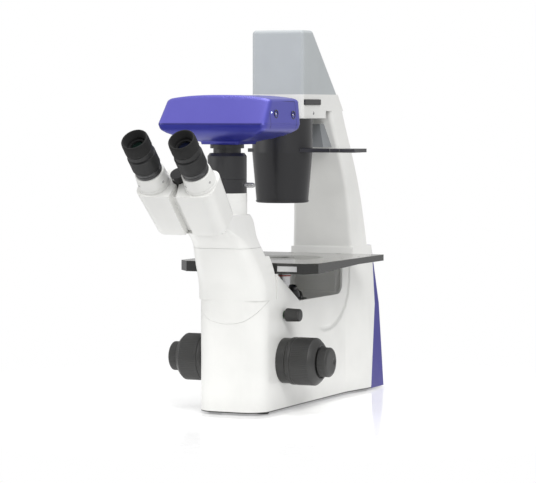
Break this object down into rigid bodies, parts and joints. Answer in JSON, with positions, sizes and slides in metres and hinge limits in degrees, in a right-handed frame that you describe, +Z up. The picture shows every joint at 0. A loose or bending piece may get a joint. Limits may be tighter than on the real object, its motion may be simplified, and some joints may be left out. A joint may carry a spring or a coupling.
{
  "type": "inverted microscope",
  "caption": "Inverted microscope with a binocular viewing head, a camera on the phototube, a stage over the objective turret and a lamp arm with a condenser above.",
  "frame": {"origin": "on the bench under the middle of the instrument's box, where the rubber feet stand", "axes": "+Z up, +Y from the user towards the back, +X to the user's right"},
  "size_m": [0.231, 0.6186, 0.505],
  "materials": {
    "white_paint": "satin",
    "grey_cover": "satin",
    "blue_panel": "satin",
    "black_enamel": "satin",
    "black_grip": "matte",
    "grey_knob": "satin",
    "stage_lacquer": "gloss",
    "camera_blue": "satin",
    "bare_aluminium": "satin",
    "steel": "satin",
    "brass": "satin",
    "cast_grey": "matte",
    "rubber": "matte",
    "lens_glass": "polished",
    "filter_glass": "polished",
    "board": "satin",
    "lamp_black": "matte"
  },
  "bodies": {
    "stand": {"base_plate": "black_enamel", "rubber_feet": "rubber", "stand_shell": "white_paint", "rear_panel": "blue_panel", "neck_cover": "white_paint", "head_body": "white_paint", "column_shell": "white_paint", "column_frame": "cast_grey", "lamp_arm": "white_paint", "lamp_housing": "grey_cover", "lamp_tube": "bare_aluminium", "light_source": "lamp_black", "collector_lens": "lens_glass", "condenser_rail": "grey_knob", "stage_plate": "stage_lacquer", "stage_insert": "bare_aluminium", "stage_front_plate": "bare_aluminium", "body_screws": "steel", "focus_bushes": "grey_knob", "inner_posts": "white_paint", "inner_frame": "cast_grey", "path_optics": "lens_glass", "phototube": "white_paint", "adapter_socket": "black_enamel", "head_hinge": "black_grip", "rear_sockets": "black_grip", "electronics": "board"},
    "filter_tray": {"filter_tray": "black_enamel", "light_filter": "filter_glass"},
    "condenser": {"condenser_housing": "black_enamel", "condenser_lenses": "lens_glass", "condenser_carrier": "black_enamel"},
    "phase_slider": {"phase_slider": "steel"},
    "coarse_drive": {"coarse_knobs": "grey_knob", "coarse_shaft": "steel"},
    "fine_drive": {"fine_knobs": "grey_knob"},
    "nosepiece": {"nosepiece_carriage": "cast_grey", "focus_rack": "brass"},
    "turret": {"turret": "black_enamel", "objectives": "bare_aluminium"},
    "tube_left": {"prism_housing_left": "white_paint", "viewing_tube_left": "white_paint", "eye_barrel_left": "black_enamel"},
    "tube_right": {"prism_housing_right": "white_paint", "viewing_tube_right": "white_paint", "eye_barrel_right": "black_enamel"},
    "eyepiece_left": {"diopter_ring_left": "black_grip", "eyecup_left": "black_grip", "eye_lens_left": "lens_glass"},
    "eyepiece_right": {"diopter_ring_right": "black_grip", "eyecup_right": "black_grip", "eye_lens_right": "lens_glass"},
    "camera": {"camera_adapter": "black_enamel", "adapter_lenses": "lens_glass", "camera_shell": "camera_blue", "camera_ports": "grey_knob", "sensor_board": "board"},
    "clamp_screw": {"clamp_screw": "steel"},
    "brightness": {"brightness_knob": "grey_knob"},
    "switch": {"switch_rocker": "black_grip"}
  },
  "joints": [
    {"name": "filter_slide", "type": "slide", "parent": "stand", "child": "filter_tray", "axis": [1, 0, 0], "range_m": [0, 0.04]},
    {"name": "condenser_lift", "type": "slide", "parent": "stand", "child": "condenser", "axis": [0, 0, 1], "range_m": [-0.02, 0]},
    {"name": "phase_slide", "type": "slide", "parent": "condenser", "child": "phase_slider", "axis": [1, 0, 0], "range_m": [-0.03, 0.03]},
    {"name": "coarse_turn", "type": "hinge", "parent": "stand", "child": "coarse_drive", "pos_m": [0, -0.02324, 0.067], "axis": [1, 0, 0], "range_deg": [-28.65, 25.06]},
    {"name": "fine_turn", "type": "hinge", "parent": "coarse_drive", "child": "fine_drive", "pos_m": [0, -0.02324, 0.067], "axis": [1, 0, 0], "range_deg": [-180, 180]},
    {"name": "focus_lift", "type": "slide", "parent": "stand", "child": "nosepiece", "axis": [0, 0, 1], "range_m": [-0.004, 0.0035]},
    {"name": "turret_turn", "type": "hinge", "parent": "nosepiece", "child": "turret", "pos_m": [0, 0.05358, 0.14579], "axis": [0, -0.2588, 0.9659], "continuous": true},
    {"name": "left_tube_swing", "type": "hinge", "parent": "stand", "child": "tube_left", "pos_m": [0, -0.29158, 0.36766], "axis": [0, 0.7071, -0.7071], "range_deg": [-9, 9]},
    {"name": "right_tube_swing", "type": "hinge", "parent": "stand", "child": "tube_right", "pos_m": [0, -0.29158, 0.36766], "axis": [0, 0.7071, -0.7071], "range_deg": [-9, 9]},
    {"name": "left_diopter_turn", "type": "hinge", "parent": "tube_left", "child": "eyepiece_left", "pos_m": [-0.0324, -0.29724, 0.362], "axis": [0, 0.7071, -0.7071], "range_deg": [-150, 150]},
    {"name": "right_diopter_turn", "type": "hinge", "parent": "tube_right", "child": "eyepiece_right", "pos_m": [0.0324, -0.29724, 0.362], "axis": [0, 0.7071, -0.7071], "range_deg": [-150, 150]},
    {"name": "camera_turn", "type": "hinge", "parent": "stand", "child": "camera", "pos_m": [0, -0.09824, 0.29], "axis": [0, 0, 1], "range_deg": [-90, 90]},
    {"name": "clamp_turn", "type": "hinge", "parent": "stand", "child": "clamp_screw", "pos_m": [0, -0.09824, 0.3005], "axis": [1, 0, 0], "range_deg": [0, 540]},
    {"name": "brightness_turn", "type": "hinge", "parent": "stand", "child": "brightness", "pos_m": [0, -0.02324, 0.1275], "axis": [1, 0, 0], "range_deg": [-140, 140]},
    {"name": "switch_rock", "type": "hinge", "parent": "stand", "child": "switch", "pos_m": [-0.024, 0.30376, 0.052], "axis": [1, 0, 0], "range_deg": [-7, 7]}
  ],
  "couplings": [
    {"joint": "focus_lift", "follows": "coarse_turn", "m_per_rad": 0.008},
    {"joint": "right_tube_swing", "follows": "left_tube_swing", "ratio": -1}
  ]
}
